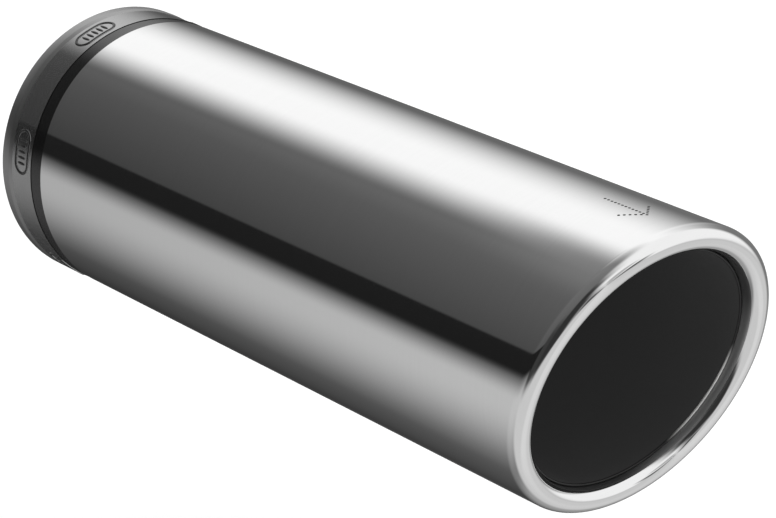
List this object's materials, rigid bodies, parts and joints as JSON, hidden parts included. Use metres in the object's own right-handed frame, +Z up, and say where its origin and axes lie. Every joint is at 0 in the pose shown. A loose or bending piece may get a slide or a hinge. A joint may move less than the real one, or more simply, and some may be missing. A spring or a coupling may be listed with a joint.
{
  "type": "exhaust tip",
  "caption": "Round slash-cut exhaust tip with a rolled lip, polished outer shell, dark joint band, panelled end collar and a short weld-on inlet pipe.",
  "frame": {"origin": "centre of the open rear end of the inlet pipe, on the axis of the tip", "axes": "+Y along the axis, the way the car's tail pipe leaves the inlet; the mouth faces -Y; +Z up, on the side where the slash leaves the shell longest"},
  "size_m": [0.1006, 0.3119, 0.1006],
  "materials": {
    "polished_shell": "mirror polished stainless steel",
    "joint_black": "satin black heat-proof coating",
    "polished_collar": "polished stainless steel, satin hem",
    "pressed_cap": "mill-finish pressed stainless steel",
    "inlet_steel": "mill-finish stainless tube",
    "weld_metal": "heat-tinted weld",
    "inner_black": "matt black heat-proof coating"
  },
  "bodies": {
    "root": {"outer_shell": "polished_shell", "joint_band": "joint_black", "end_collar": "polished_collar", "end_cap": "pressed_cap", "inlet_pipe": "inlet_steel", "inlet_weld": "weld_metal", "inner_tube": "inner_black"}
  },
  "joints": []
}
